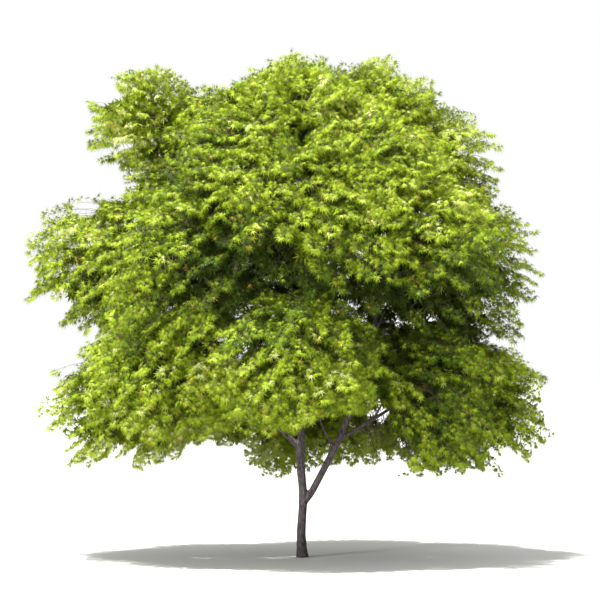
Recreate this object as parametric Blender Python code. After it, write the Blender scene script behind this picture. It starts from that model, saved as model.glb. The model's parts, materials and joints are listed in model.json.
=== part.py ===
"""Japanese maple: a whole tree, as its trunk, its boughs and the masses of leaves that they end in.

Metres, +Z up. The origin is the middle of the flat cut under the trunk, on level ground.
The tree's front faces -Y, and +X is on its right as seen from there.
"""

import math
import random
from collections import namedtuple

import bmesh
import bpy
import numpy as np
from mathutils import Matrix, Vector
from mathutils.bvhtree import BVHTree

UP = Vector((0, 0, 1))
GAP = 0.0003

# The trunk: height of its fork, radius below it, root flare, lean and sway
TRUNK_HEIGHT = 1.16
TRUNK_RADIUS = 0.0425
FLARE_RADIUS = 0.065
FLARE_HEIGHT = 0.13
RIDGE_COUNT = 5
RIDGE_DEPTH = 0.10
FORK_SWELLING = 0.003
TRUNK_LEAN = 0.012
TRUNK_SWAY = 0.011
SWAY_LENGTH = 0.80
TRUNK_SIDES = 15
TRUNK_RINGS = 10

# Wood thickens with what it carries: the radius of a limb that carries one mass, and the power
# that it grows by with more of them
BOUGH_RADIUS = 0.0125
GIRTH_POWER = 0.42
COLLAR = 1.22
BOUGH_SIDES = 5
MAIN_BOUGH_SIDES = 8
BOUGH_STATIONS = (0.0, 0.05, 0.21, 0.4, 0.6, 0.8, 1.0)
BOUGH_KINK = 0.008
FIRST_HANDLE = 0.45
SECOND_HANDLE = 0.22
ENTRY_DEPTH = 0.62

# Twigs inside a mass: a stem, main twigs that share it out, and leafy twigs that each open
# into one leaf, rolled to one side or the other. A leaf stands for a spray of real ones, and is
# tried at shares of its full length and turned by further degrees until it is clear of the rest
MAIN_TWIGS = 3
LEAVES_PER_MASS = 18
TWIG_SIDES = 3
STEM_LENGTH = 0.16
MAIN_REACH = 0.52
MAIN_RADIUS = 0.0115
MAIN_TIP_RADIUS = 0.0092
LEAFY_RADIUS = 0.0042
NECK_RADIUS = 0.0034
TWIG_BEND = 0.14
JOINT_SHARES = (0.28, 0.42, 0.62, 0.78, 0.95)
DETOUR_COST = 0.30
TURN_COST = 0.40
CROWD_COST = 0.14
LEAF_LENGTH = 0.60
LEAF_WIDTH = 0.53
LEAF_THICKNESS = 0.014
WIDEST_AT = 0.50
LEAF_ROLL = (30, 65)
LEAF_TRIES = (
    (1.0, 0),
    (1.0, 35),
    (1.0, -35),
    (0.85, 0),
    (0.85, 60),
    (0.85, -60),
    (0.7, 20),
    (0.7, -80),
)

# A mass is an ellipsoid (2) a little squared off, so that neighbours leave no wide gaps
SQUARENESS = 2.15

# Room kept between a mass and its neighbours, and round the boughs that pass through it
SPACE_CLEARANCE = 0.012
LEAF_CLEARANCE = 0.055
TWIG_CLEARANCE = 0.025

FLAT_ANGLE = math.radians(0.2)
GOLDEN_ANGLE = math.pi * (3 - math.sqrt(5))

# A tier's masses are ellipsoids: half-lengths outward, across and up, and how far their outer
# end droops. Its boughs enter them at a rise above level, and its leaves turn up by a lift
Tier = namedtuple("Tier", "outward across tall droop rise lift")
TIERS = {
    "low": Tier(0.92, 0.92, 0.72, 11, -4, -0.25),
    "wing": Tier(0.92, 0.88, 0.70, -4, 8, -0.10),
    "mid": Tier(0.92, 0.92, 0.84, 3, 18, 0.05),
    "upper": Tier(0.84, 0.84, 0.74, -8, 60, 0.35),
    "top": Tier(0.70, 0.74, 0.68, 0, 72, 0.90),
    "plume": Tier(0.62, 0.70, 0.60, 14, 72, 0.90),
}

# A mass's tier, its compass bearing round the trunk (0 right, 90 back, 180 left, 270 front), how
# far its outermost tips reach from the trunk's foot, the height of its middle, and the limb that
# its bough leaves, at what share of that limb's length
Mass = namedtuple("Mass", "tier bearing reach height parent share")
MASSES = {
    "top_centre": Mass("top", 0, 0.67, 4.38, "trunk", 1.0),
    "mid_left": Mass("wing", 180, 2.91, 2.90, "trunk", 0.94),
    "upper_right": Mass("upper", 4, 2.07, 3.86, "trunk", 0.47),
    "low_right": Mass("low", 2, 2.59, 1.54, "upper_right", 0.22),
    "low_front": Mass("low", 266, 2.46, 1.98, "upper_right", 0.20),
    "low_front_right": Mass("low", 328, 2.28, 1.58, "low_right", 0.45),
    "low_right_back": Mass("low", 38, 2.46, 1.48, "low_right", 0.55),
    "low_back_right": Mass("low", 70, 2.30, 1.59, "top_centre", 0.09),
    "low_back_left": Mass("low", 100, 2.25, 1.47, "mid_left", 0.14),
    "low_left_back": Mass("low", 144, 2.46, 1.74, "mid_left", 0.34),
    "low_left": Mass("low", 184, 2.69, 1.54, "mid_left", 0.46),
    "low_front_left": Mass("low", 216, 2.50, 1.85, "mid_left", 0.28),
    "mid_front_left": Mass("mid", 228, 2.50, 2.90, "mid_left", 0.60),
    "mid_back_left": Mass("mid", 146, 2.48, 2.60, "mid_left", 0.52),
    "mid_back": Mass("mid", 92, 2.45, 2.82, "top_centre", 0.24),
    "mid_front": Mass("mid", 271, 2.40, 3.32, "top_centre", 0.29),
    "mid_right": Mass("mid", 358, 2.46, 2.84, "upper_right", 0.50),
    "mid_back_right": Mass("mid", 40, 2.42, 2.58, "upper_right", 0.58),
    "mid_front_right": Mass("mid", 316, 2.48, 2.98, "upper_right", 0.64),
    "upper_left": Mass("upper", 182, 2.03, 3.40, "top_centre", 0.40),
    "upper_front_left": Mass("upper", 238, 1.92, 3.78, "top_centre", 0.46),
    "upper_front_right": Mass("upper", 302, 1.92, 3.78, "top_centre", 0.52),
    "upper_back_right": Mass("upper", 62, 1.92, 3.76, "top_centre", 0.57),
    "upper_back_left": Mass("upper", 122, 1.92, 3.78, "top_centre", 0.62),
    "top_left_tip": Mass("plume", 178, 2.21, 4.33, "upper_left", 0.55),
    "top_left": Mass("top", 172, 1.39, 4.22, "top_centre", 0.70),
    "top_right": Mass("top", 4, 1.47, 4.36, "top_centre", 0.66),
    "top_front": Mass("top", 268, 1.42, 4.22, "top_centre", 0.76),
    "top_back": Mass("top", 84, 1.45, 4.24, "top_centre", 0.73),
}

# Boughs whose first stretch shows below the crown leave their limb at a bearing and a rise of
# their own, and the right one is stouter than its load asks
Start = namedtuple("Start", "bearing rise")
BOUGH_STARTS = {
    "top_centre": Start(0, 86),
    "mid_left": Start(180, 41),
    "upper_right": Start(0, 52),
    "low_right": Start(0, 33),
    "low_front": Start(188, 55),
}
STOUTER = {"upper_right": 1.18}
BOUGH_NAMES = {"top_centre": "leader", "mid_left": "left_bough", "upper_right": "right_bough"}

BARK = (0.115, 0.088, 0.098)
LEAF_GREENS = {
    "low": (0.16, 0.27, 0.020),
    "wing": (0.19, 0.31, 0.022),
    "mid": (0.21, 0.34, 0.024),
    "upper": (0.27, 0.42, 0.028),
    "top": (0.33, 0.48, 0.040),
    "plume": (0.30, 0.45, 0.034),
}

Space = namedtuple("Space", "centre axes sizes weight")
Limb = namedtuple("Limb", "points radii")
Joint = namedtuple("Joint", "place heading travel")
Leaf = namedtuple("Leaf", "neck axis facing length")
Twig = namedtuple("Twig", "points leaf")


def direction(bearing, rise):
    """A unit vector at a compass bearing and a rise above level, both in degrees."""
    bearing, rise = math.radians(bearing), math.radians(rise)
    level = math.cos(rise)
    return Vector((level * math.cos(bearing), level * math.sin(bearing), math.sin(rise)))


def mass_space(mass):
    """The ellipsoid that a mass fills, with its outer end drooped."""
    tier = TIERS[mass.tier]
    outward = direction(mass.bearing, -tier.droop)
    across = direction(mass.bearing + 90, 0)
    sizes = (tier.outward, tier.across, tier.tall)
    centre = direction(mass.bearing, 0) * (mass.reach - tier.outward) + UP * mass.height
    return Space(centre, (outward, across, outward.cross(across)), sizes, math.prod(sizes) ** (2 / 3))


SPACES = {name: mass_space(mass) for name, mass in MASSES.items()}


def fullness(space, offset):
    """1 on the surface of a mass's rounded shape, less inside it, for an offset from its centre."""
    parts = [abs(offset.dot(axis) / size) ** SQUARENESS for axis, size in zip(space.axes, space.sizes)]
    return sum(parts) ** (1 / SQUARENESS)


def borders(space):
    """The flat border with each neighbour: the way to it from the centre, and how far it lies."""
    found = []
    for other in SPACES.values():
        if other is not space:
            way = other.centre - space.centre
            middle = (way.length_squared + space.weight - other.weight) / (2 * way.length)
            found.append((way.normalized(), middle - SPACE_CLEARANCE))
    return found


def reach_along(space, heading):
    """How far a mass reaches from its centre along a unit vector, to its edge or its neighbour's."""
    reach = 1 / fullness(space, heading)
    for between, distance in borders(space):
        if heading.dot(between) > 0:
            reach = min(reach, distance / heading.dot(between))
    return reach


def in_own_space(space, point):
    """True inside the ellipsoid and on its own side of the border with each neighbour."""
    offset = point - space.centre
    if fullness(space, offset) > 1:
        return False
    return all(offset.dot(between) < distance for between, distance in borders(space))


def trunk_centre(height):
    """The trunk's axis leans to the left and sways on its way up."""
    turn = 2 * math.pi * height / SWAY_LENGTH
    across = -TRUNK_LEAN * height - TRUNK_SWAY * math.sin(turn)
    return Vector((across, TRUNK_SWAY * (1 - math.cos(turn)) / 2, height))


def trunk_radius(height):
    """The trunk tapers from its root flare and swells a little under the fork."""
    flare = (FLARE_RADIUS - TRUNK_RADIUS) * math.exp(-height / FLARE_HEIGHT)
    fork = FORK_SWELLING * math.exp(-(((height - 0.85 * TRUNK_HEIGHT) / 0.15) ** 2))
    return TRUNK_RADIUS + flare + fork


def carried(name, share=0.0):
    """How many masses a bough carries past this share of its length, with its own."""
    hung = [child for child, mass in MASSES.items() if mass.parent == name and mass.share > share]
    return 1 + sum(carried(child) for child in hung)


def point_along(points, share):
    """The place and the heading at a share of the length of a row of points."""
    steps = [(b - a).length for a, b in zip(points, points[1:])]
    left = share * sum(steps)
    for start, end, step in zip(points, points[1:], steps):
        if left <= step:
            break
        left -= step
    heading = (end - start).normalized()
    return start + heading * min(left, step), heading


def bezier(start, first, second, end, share):
    """A point on the cubic curve with these two ends and two handles."""
    rest = 1 - share
    return start * rest**3 + first * 3 * rest**2 * share + second * 3 * rest * share**2 + end * share**3


def lay_bough(name, parent):
    """One tapering limb, from the axis of the limb it leaves to where it enters its mass."""
    mass, space = MASSES[name], SPACES[name]
    start, along = point_along(parent.points, mass.share)
    way = space.centre - start
    entry = direction(math.degrees(math.atan2(way.y, way.x)), TIERS[mass.tier].rise)
    end = space.centre - entry * reach_along(space, -entry) * ENTRY_DEPTH
    if name in BOUGH_STARTS:
        leaving = direction(*BOUGH_STARTS[name])
    else:
        leaving = (along * 0.45 + (end - start).normalized() + UP * 0.25).normalized()
    first = start + leaving * (end - start).length * FIRST_HANDLE
    second = end - entry * (end - start).length * SECOND_HANDLE
    rng = random.Random(name + " bough")
    points = []
    for share in BOUGH_STATIONS:
        place = bezier(start, first, second, end, share)
        if BOUGH_STATIONS[1] < share < 1:
            place += Vector(rng.uniform(-1, 1) for _ in range(3)) * BOUGH_KINK * (end - start).length
        points.append(place)
    girth = BOUGH_RADIUS * STOUTER.get(name, 1.0)
    radii = [girth * carried(name, share) ** GIRTH_POWER for share in BOUGH_STATIONS]
    radii[-1] = BOUGH_RADIUS
    if mass.share < 1.0:
        radii[0] *= COLLAR
    return Limb(points, radii)


def lay_limbs():
    """The trunk's axis and every bough, parents before what grows from them."""
    heights = [TRUNK_HEIGHT * (ring / TRUNK_RINGS) ** 1.4 for ring in range(TRUNK_RINGS + 1)]
    limbs = {"trunk": Limb([trunk_centre(h) for h in heights], [trunk_radius(h) for h in heights])}
    for name, mass in MASSES.items():
        limbs[name] = lay_bough(name, limbs[mass.parent])
    return limbs


LIMBS = lay_limbs()
WOOD = np.array(
    [
        (*a, *b, radius)
        for limb in LIMBS.values()
        for a, b, radius in zip(limb.points, limb.points[1:], limb.radii)
    ]
)


def clear_of_wood(points, room):
    """True where every point keeps this much room to the bark of the trunk and boughs."""
    points = np.array(points)[:, None, :]
    starts, spans, radii = WOOD[:, 0:3], WOOD[:, 3:6] - WOOD[:, 0:3], WOOD[:, 6]
    shares = ((points - starts) * spans).sum(2) / (spans**2).sum(1)
    nearest = starts + np.clip(shares, 0, 1)[..., None] * spans
    return bool((np.linalg.norm(points - nearest, axis=2) > radii + room).all())


def leaf_outline(leaf):
    """The corners of a leaf: where it opens, its two sides and its tip."""
    side = leaf.axis.cross(leaf.facing) * leaf.length * LEAF_WIDTH / LEAF_LENGTH / 2
    middle = leaf.neck + leaf.axis * leaf.length * WIDEST_AT
    return [leaf.neck, middle + side, leaf.neck + leaf.axis * leaf.length, middle - side]


def leaf_fits(space, leaf):
    """True where a leaf keeps to the mass's space and clear of the boughs."""
    neck, right, tip, left = leaf_outline(leaf)
    rows = [(neck.lerp(right, share), neck.lerp(left, share)) for share in (0, 0.33, 0.67, 1)]
    rows += [(right.lerp(tip, share), left.lerp(tip, share)) for share in (0.33, 0.67, 1)]
    points = [start.lerp(end, across) for start, end in rows for across in (0, 0.25, 0.5, 0.75, 1)]
    inside = all(in_own_space(space, corner) for corner in (neck, right, tip, left))
    return inside and clear_of_wood(points, LEAF_CLEARANCE)


def even_headings(space, count, turn):
    """Unit vectors spread evenly round a mass."""
    for index in range(count):
        height = 1 - (2 * index + 1) / count
        angle = GOLDEN_ANGLE * index + turn
        level = math.sqrt(1 - height**2)
        parts = (level * math.cos(angle), level * math.sin(angle), height)
        yield sum((axis * part for axis, part in zip(space.axes, parts)), Vector())


def best_joint(joints, uses, tip):
    """The joint that a twig to this tip leaves: close by, early on, in line and not yet taken."""

    def cost(index):
        joint = joints[index]
        way = tip - joint.place
        turn = 1 - joint.heading.dot(way.normalized())
        return way.length * (1 + TURN_COST * turn) + DETOUR_COST * joint.travel + CROWD_COST * uses[index]

    return min(range(len(joints)), key=cost)


def main_twig(space, source, tip):
    """A twig that leaves a joint the way the joint heads and bends over to its tip."""
    way = tip - source.place
    bend = source.place + way / 2 + source.heading * way.length * TWIG_BEND
    inside = in_own_space(space, bend) and in_own_space(space, tip)
    if inside and clear_of_wood([bend, tip, bend.lerp(tip, 0.5)], TWIG_CLEARANCE):
        return [source.place, bend, tip]
    return None


def leafy_twig(space, tier, source, heading, grown, rng):
    """A twig that opens into a leaf whose tip reaches the edge of the mass along a heading."""
    tip = space.centre + heading * reach_along(space, heading) * rng.uniform(0.92, 0.99)
    aim = (tip - source.place).normalized()
    axis = (aim * 0.5 + heading * 0.5 + UP * tier.lift * 0.4).normalized()
    outward = Vector((tip.x, tip.y, 0)).normalized()
    facing = UP + outward * 0.35
    facing = (facing - axis * facing.dot(axis)).normalized()
    facing = Matrix.Rotation(rng.choice((-1, 1)) * math.radians(rng.uniform(*LEAF_ROLL)), 3, axis) @ facing
    for share, roll in LEAF_TRIES:
        length = min(LEAF_LENGTH * share, (tip - source.place).length * 0.85)
        neck = tip - axis * length
        turned = Matrix.Rotation(math.radians(roll), 3, axis) @ facing
        twig = Twig([source.place, neck], Leaf(neck, axis, turned, length))
        if leaf_fits(space, twig.leaf) and clear_of_wood([neck.lerp(source.place, 0.4)], TWIG_CLEARANCE):
            if not crosses(twig, grown):
                return twig
    return None


def sheets(twig):
    """A twig's leaf, and the twig itself as a sliver, for telling whether two twigs cross."""
    if twig.leaf is None:
        return [], [[a, b, b + UP * 0.01] for a, b in zip(twig.points, twig.points[1:])]
    root, neck = twig.points
    return [leaf_outline(twig.leaf)], [[root.lerp(neck, 0.2), neck, neck + twig.leaf.facing * 0.004]]


def meet(first, second):
    """True where one flat face of the first list runs through one of the second."""
    first, second = (
        [BVHTree.FromPolygons(face, [tuple(range(len(face)))]) for face in faces]
        for faces in (first, second)
    )
    return any(a.overlap(b) for a in first for b in second)


def crosses(twig, grown):
    """True where a leaf would run through another leaf or a twig, or its own twig through a leaf."""
    leaf, sliver = sheets(twig)
    for other in grown:
        other_leaf, other_sliver = sheets(other)
        if meet(leaf, other_leaf + other_sliver) or meet(sliver, other_leaf):
            return True
    return False


def grow(name):
    """The twigs of a mass, stem first, by the rule that every mass follows."""
    space, limb, tier = SPACES[name], LIMBS[name], TIERS[MASSES[name].tier]
    rng = random.Random(name)
    heading = (limb.points[-1] - limb.points[-2]).normalized()
    base = limb.points[-1] + heading * GAP
    fork = base + heading * STEM_LENGTH
    twigs = [Twig([base, fork], None)]
    joints = [Joint(fork, heading, STEM_LENGTH)]
    for heading in even_headings(space, MAIN_TWIGS, rng.uniform(0, 2 * math.pi)):
        source = joints[best_joint(joints, [0] * len(joints), space.centre + heading)]
        tip = space.centre + heading * reach_along(space, heading) * MAIN_REACH
        points = main_twig(space, source, tip)
        if points:
            twigs.append(Twig(points, None))
            for share in JOINT_SHARES:
                place, along = point_along(points, share)
                joints.append(Joint(place, along, source.travel + (tip - source.place).length * share))
    uses = [0] * len(joints)
    for heading in even_headings(space, LEAVES_PER_MASS, rng.uniform(0, 2 * math.pi)):
        target = space.centre + heading * reach_along(space, heading) * 0.6
        index = best_joint(joints, uses, target)
        twig = leafy_twig(space, tier, joints[index], heading, twigs, rng)
        if twig:
            twigs.append(twig)
            uses[index] += 1
    return twigs


def material(name, colour, roughness):
    """A plain surface of one colour."""
    made = bpy.data.materials.new(name)
    made.use_nodes = True
    shader = made.node_tree.nodes["Principled BSDF"]
    shader.inputs["Base Color"].default_value = (*colour, 1)
    shader.inputs["Roughness"].default_value = roughness
    shader.inputs["Metallic"].default_value = 0.0
    made.diffuse_color = (*colour, 1)
    return made


def add_object(name, mesh, collection):
    """A new object in a collection, at the origin."""
    added = bpy.data.objects.new(name, mesh)
    collection.objects.link(added)
    return added


def evaluated_mesh(source):
    """A plain mesh of an object as its modifiers leave it."""
    graph = bpy.context.evaluated_depsgraph_get()
    return bpy.data.meshes.new_from_object(source.evaluated_get(graph))


def round_profile(sides):
    """A closed ring of unit radius, which the tubes are swept from."""
    name = f"profile_{sides}"
    if name in bpy.data.objects:
        return bpy.data.objects[name]
    curve = bpy.data.curves.new(name, "CURVE")
    spline = curve.splines.new("POLY")
    spline.points.add(sides - 1)
    for index, point in enumerate(spline.points):
        angle = 2 * math.pi * index / sides
        point.co = (math.cos(angle), math.sin(angle), 0, 1)
    spline.use_cyclic_u = True
    return add_object(name, curve, guides)


def tube_mesh(points, radii, sides):
    """A closed tapering tube along the points: a curve's bevel, made a mesh, its caps welded."""
    curve = bpy.data.curves.new("tube", "CURVE")
    curve.dimensions = "3D"
    curve.bevel_mode = "OBJECT"
    curve.bevel_object = round_profile(sides)
    curve.use_fill_caps = True
    spline = curve.splines.new("POLY")
    spline.points.add(len(points) - 1)
    for point, place, radius in zip(spline.points, points, radii):
        point.co = (*place, 1)
        point.radius = radius
    path = add_object("tube", curve, guides)
    mesh = evaluated_mesh(path)
    bpy.data.objects.remove(path)
    bpy.data.curves.remove(curve)
    shell = bmesh.new()
    shell.from_mesh(mesh)
    bmesh.ops.remove_doubles(shell, verts=shell.verts, dist=0.0001)
    bmesh.ops.recalc_face_normals(shell, faces=shell.faces)
    shell.to_mesh(mesh)
    shell.free()
    return mesh


def trunk_mesh(grown=0.0):
    """The trunk, lofted from ridged rings at the root flare to round ones at the fork."""
    shell = bmesh.new()
    rings = []
    for centre, radius in zip(LIMBS["trunk"].points, LIMBS["trunk"].radii):
        ridge = RIDGE_DEPTH * math.exp(-centre.z / FLARE_HEIGHT)
        ring = []
        for side in range(TRUNK_SIDES):
            angle = 2 * math.pi * side / TRUNK_SIDES
            out = radius * (1 + ridge * math.cos(RIDGE_COUNT * angle)) + grown
            ring.append(shell.verts.new(centre + out * Vector((math.cos(angle), math.sin(angle), 0))))
        rings.append(ring)
    for lower, upper in zip(rings, rings[1:]):
        for side in range(TRUNK_SIDES):
            after = (side + 1) % TRUNK_SIDES
            shell.faces.new((lower[side], lower[after], upper[after], upper[side]))
    shell.faces.new(rings[0][::-1])
    shell.faces.new(rings[-1])
    for point in rings[-1]:
        point.co.z += grown
    bmesh.ops.recalc_face_normals(shell, faces=shell.faces)
    mesh = bpy.data.meshes.new("trunk")
    shell.to_mesh(mesh)
    shell.free()
    return mesh


def loft_mesh(sections):
    """A closed solid through sections of as many points each, the last of which may be a point."""
    shell = bmesh.new()
    rings = [[shell.verts.new(point) for point in section] for section in sections]
    for lower, upper in zip(rings, rings[1:]):
        for side in range(len(lower)):
            after = (side + 1) % len(lower)
            corners = (lower[side], lower[after], upper[after % len(upper)], upper[side % len(upper)])
            shell.faces.new(dict.fromkeys(corners))
    shell.faces.new(rings[0])
    if len(rings[-1]) > 2:
        shell.faces.new(rings[-1])
    bmesh.ops.connect_verts_nonplanar(shell, angle_limit=math.radians(0.1), faces=shell.faces)
    bmesh.ops.recalc_face_normals(shell, faces=shell.faces)
    mesh = bpy.data.meshes.new("loft")
    shell.to_mesh(mesh)
    shell.free()
    return mesh


def leafy_twig_mesh(twig):
    """A three-sided twig whose upper side runs on as the leaf's ridge."""
    leaf, root = twig.leaf, twig.points[0]
    side, out = leaf.axis.cross(leaf.facing), leaf.facing

    def section(place, radius):
        under = place - out * radius / 2
        return [place + out * radius, under + side * radius, under - side * radius]

    neck, right, tip, left = leaf_outline(leaf)
    widest = [right.lerp(left, 0.5) + out * LEAF_THICKNESS, right, left]
    return loft_mesh([section(root, LEAFY_RADIUS), section(neck, NECK_RADIUS), widest, [tip]])


def boolean(body, operation, others):
    """The mesh of a body joined with, or cut by, every object of a collection."""
    modifier = body.modifiers.new(operation.lower(), "BOOLEAN")
    modifier.operation = operation
    modifier.operand_type = "COLLECTION"
    modifier.collection = others
    modifier.solver = "EXACT"
    mesh = evaluated_mesh(body)
    body.modifiers.clear()
    return mesh


def shells_of(shell):
    """The faces of a mesh in groups that hang together."""
    left = set(shell.faces)
    while left:
        group, edge = set(), [left.pop()]
        while edge:
            face = edge.pop()
            group.add(face)
            around = {near for side in face.edges for near in side.link_faces} & left
            left -= around
            edge.extend(around)
        yield list(group)


def keep_outer_shell(mesh):
    """Drops loose scraps and fills sealed hollows, by keeping only the largest shell, with faces
    that lie in one plane made one. True where that leaves one closed surface."""
    shell = bmesh.new()
    shell.from_mesh(mesh)
    bmesh.ops.dissolve_limit(shell, angle_limit=FLAT_ANGLE, verts=shell.verts, edges=shell.edges)
    bmesh.ops.triangulate(shell, faces=shell.faces)
    groups = sorted(shells_of(shell), key=len)
    extra = [face for group in groups[:-1] for face in group]
    bmesh.ops.delete(shell, geom=extra, context="FACES")
    closed = all(edge.is_manifold for edge in shell.edges)
    shell.to_mesh(mesh)
    shell.free()
    return closed


def empty_collection(collection):
    """Removes a collection of helpers with all that it holds."""
    for held in list(collection.objects):
        bpy.data.objects.remove(held)
    bpy.data.collections.remove(collection)


def bough_sides(name):
    """The three boughs that the trunk carries are rounder than the rest."""
    return MAIN_BOUGH_SIDES if MASSES[name].parent == "trunk" else BOUGH_SIDES


def add_bough(name):
    """A bough's solid, cut clear of the limb that it leaves and of the leader beside it."""
    limb, parent = LIMBS[name], MASSES[name].parent
    cutters = bpy.data.collections.new(name + "_cutters")
    guides.children.link(cutters)
    if parent == "trunk":
        add_object("trunk_cutter", trunk_mesh(grown=GAP * 1.1), cutters)
    beside = "top_centre" if parent == "trunk" else parent
    if beside != name:
        radii = [radius + GAP * 1.2 for radius in LIMBS[beside].radii]
        add_object("limb_cutter", tube_mesh(LIMBS[beside].points, radii, bough_sides(beside)), cutters)
    uncut = add_object("uncut", tube_mesh(limb.points, limb.radii, bough_sides(name)), guides)
    mesh = boolean(uncut, "DIFFERENCE", cutters)
    keep_outer_shell(mesh)
    bpy.data.objects.remove(uncut)
    empty_collection(cutters)
    title = BOUGH_NAMES.get(name, name + "_bough")
    mesh.name = title
    mesh.materials.append(material(title + "_bark", BARK, 0.85))
    mesh.shade_smooth()
    mesh.set_sharp_from_angle(angle=math.radians(50))
    add_object(title, mesh, tree)


def join_twigs(twigs):
    """The stem, twigs and leaves of a mass joined, and whether that gave one closed surface."""
    pieces = bpy.data.collections.new("pieces")
    guides.children.link(pieces)
    stem = add_object("stem", tube_mesh(twigs[0].points, (BOUGH_RADIUS, MAIN_RADIUS), TWIG_SIDES), guides)
    for twig in twigs[1:]:
        if twig.leaf:
            add_object("leafy_twig", leafy_twig_mesh(twig), pieces)
        else:
            radii = (MAIN_RADIUS * 0.9, MAIN_RADIUS, MAIN_TIP_RADIUS)
            add_object("main_twig", tube_mesh(twig.points, radii, TWIG_SIDES), pieces)
    mesh = boolean(stem, "UNION", pieces)
    bpy.data.objects.remove(stem)
    empty_collection(pieces)
    return mesh, keep_outer_shell(mesh)


def add_mass(name):
    """A mass's solid, without the one leaf that keeps it from closing if there is such a leaf."""
    twigs = grow(name)
    mesh, closed = join_twigs(twigs)
    spare = len(twigs)
    while not closed and spare > 1:
        spare -= 1
        mesh, closed = join_twigs(twigs[:spare] + twigs[spare + 1 :])
    title = name + "_foliage"
    mesh.name = title
    mesh.materials.clear()
    mesh.materials.append(material(title + "_leaf", LEAF_GREENS[MASSES[name].tier], 0.6))
    mesh.shade_flat()
    add_object(title, mesh, tree)


for held in list(bpy.data.objects):
    bpy.data.objects.remove(held)
tree = bpy.data.collections.new("japanese_maple")
guides = bpy.data.collections.new("guides")
guides.hide_render = True
bpy.context.scene.collection.children.link(tree)
bpy.context.scene.collection.children.link(guides)

trunk_shape = trunk_mesh()
trunk_shape.materials.append(material("trunk_bark", BARK, 0.85))
trunk_shape.shade_smooth()
trunk_shape.set_sharp_from_angle(angle=math.radians(50))
add_object("trunk", trunk_shape, tree)
for mass_name in MASSES:
    add_bough(mass_name)
for mass_name in MASSES:
    add_mass(mass_name)
empty_collection(guides)
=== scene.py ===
"""Japanese maple: the looks of the whole tree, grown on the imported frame.

Metres, +Z up. The tree's front faces -Y, and +X is on its right as seen from there.
"""

import json
import math
import random
from collections import namedtuple

import bmesh
import bpy
import numpy as np
from mathutils import Matrix, Vector, noise

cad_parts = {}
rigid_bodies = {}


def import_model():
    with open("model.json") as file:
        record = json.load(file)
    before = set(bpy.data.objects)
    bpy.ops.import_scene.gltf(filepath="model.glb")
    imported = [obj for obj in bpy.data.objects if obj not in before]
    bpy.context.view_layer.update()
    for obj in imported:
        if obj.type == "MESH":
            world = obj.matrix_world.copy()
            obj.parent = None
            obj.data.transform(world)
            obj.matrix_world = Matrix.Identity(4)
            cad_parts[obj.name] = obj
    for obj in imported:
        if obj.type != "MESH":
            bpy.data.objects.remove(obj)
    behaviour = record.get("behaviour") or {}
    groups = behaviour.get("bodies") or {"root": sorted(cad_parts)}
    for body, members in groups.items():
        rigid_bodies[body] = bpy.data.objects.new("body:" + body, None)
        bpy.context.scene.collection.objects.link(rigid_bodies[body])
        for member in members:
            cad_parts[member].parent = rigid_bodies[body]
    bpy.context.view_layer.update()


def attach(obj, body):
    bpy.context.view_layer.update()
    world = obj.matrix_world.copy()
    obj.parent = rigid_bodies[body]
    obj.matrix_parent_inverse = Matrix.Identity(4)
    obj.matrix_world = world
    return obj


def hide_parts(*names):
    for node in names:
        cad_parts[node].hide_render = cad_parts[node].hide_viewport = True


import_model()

UP = Vector((0, 0, 1))

# The tree stands on bare level ground, seen here as one pale sheet that runs back out of sight
# under an even white sky. Nothing of it belongs to the tree.
FLOOR_SIDE = 400.0
FLOOR_DROP = 0.001
FLOOR_COLOUR = (0.46, 0.46, 0.445)
SKY_COLOUR = (1.0, 1.0, 1.0)
SKY_STRENGTH = 1.0


def plain_material(name, colour, roughness, specular=0.3):
    """A surface of one colour, with every value on the shader's own sockets."""
    made = bpy.data.materials.new(name)
    made.use_nodes = True
    shader = made.node_tree.nodes["Principled BSDF"]
    shader.inputs["Base Color"].default_value = (*colour, 1)
    shader.inputs["Roughness"].default_value = roughness
    shader.inputs["Specular IOR Level"].default_value = specular
    return made


def add_object(name, mesh):
    """A new object at the origin, in the scene's own collection."""
    added = bpy.data.objects.new(name, mesh)
    bpy.context.scene.collection.objects.link(added)
    return added


ground = bmesh.new()
bmesh.ops.create_grid(ground, x_segments=1, y_segments=1, size=FLOOR_SIDE / 2)
bmesh.ops.translate(ground, verts=ground.verts, vec=(0, 0, -FLOOR_DROP))
ground_mesh = bpy.data.meshes.new("ground_sheet")
ground.to_mesh(ground_mesh)
ground.free()
ground_mesh.materials.append(plain_material("pale_ground", FLOOR_COLOUR, 0.9, 0.1))
add_object("ground_sheet", ground_mesh)

sky = bpy.data.worlds.new("white_sky")
sky.use_nodes = True
sky.node_tree.nodes["Background"].inputs["Color"].default_value = (*SKY_COLOUR, 1)
sky.node_tree.nodes["Background"].inputs["Strength"].default_value = SKY_STRENGTH
bpy.context.scene.world = sky

# The light is a high hazy sun, a little to the left and in front of the tree, and a broad soft
# light from low on the same side.
SUNS = {
    "hazy_sun": (8.8, 0.4, 77, 214, (1.0, 0.985, 0.95)),
    "soft_fill": (3.2, 12, 15, 230, (1.0, 1.0, 1.0)),
}
for title, (strength, width, rise, bearing, colour) in SUNS.items():
    lamp = bpy.data.lights.new(title, "SUN")
    lamp.energy = strength
    lamp.angle = math.radians(width)
    lamp.color = colour
    holder = bpy.data.objects.new(title, lamp)
    bpy.context.scene.collection.objects.link(holder)
    holder.rotation_euler = (math.radians(90 - rise), 0, math.radians(bearing - 270))
bpy.context.scene.view_settings.view_transform = "Standard"

# The tree is seen from standing height and from well back, through a long lens.
EYE_HEIGHT = 1.95
EYE_DISTANCE = 27.0
AIM = Vector((-0.026, 0.0, 2.567))
FRAME_WIDTH = 6.0
SENSOR = 36.0

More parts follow.
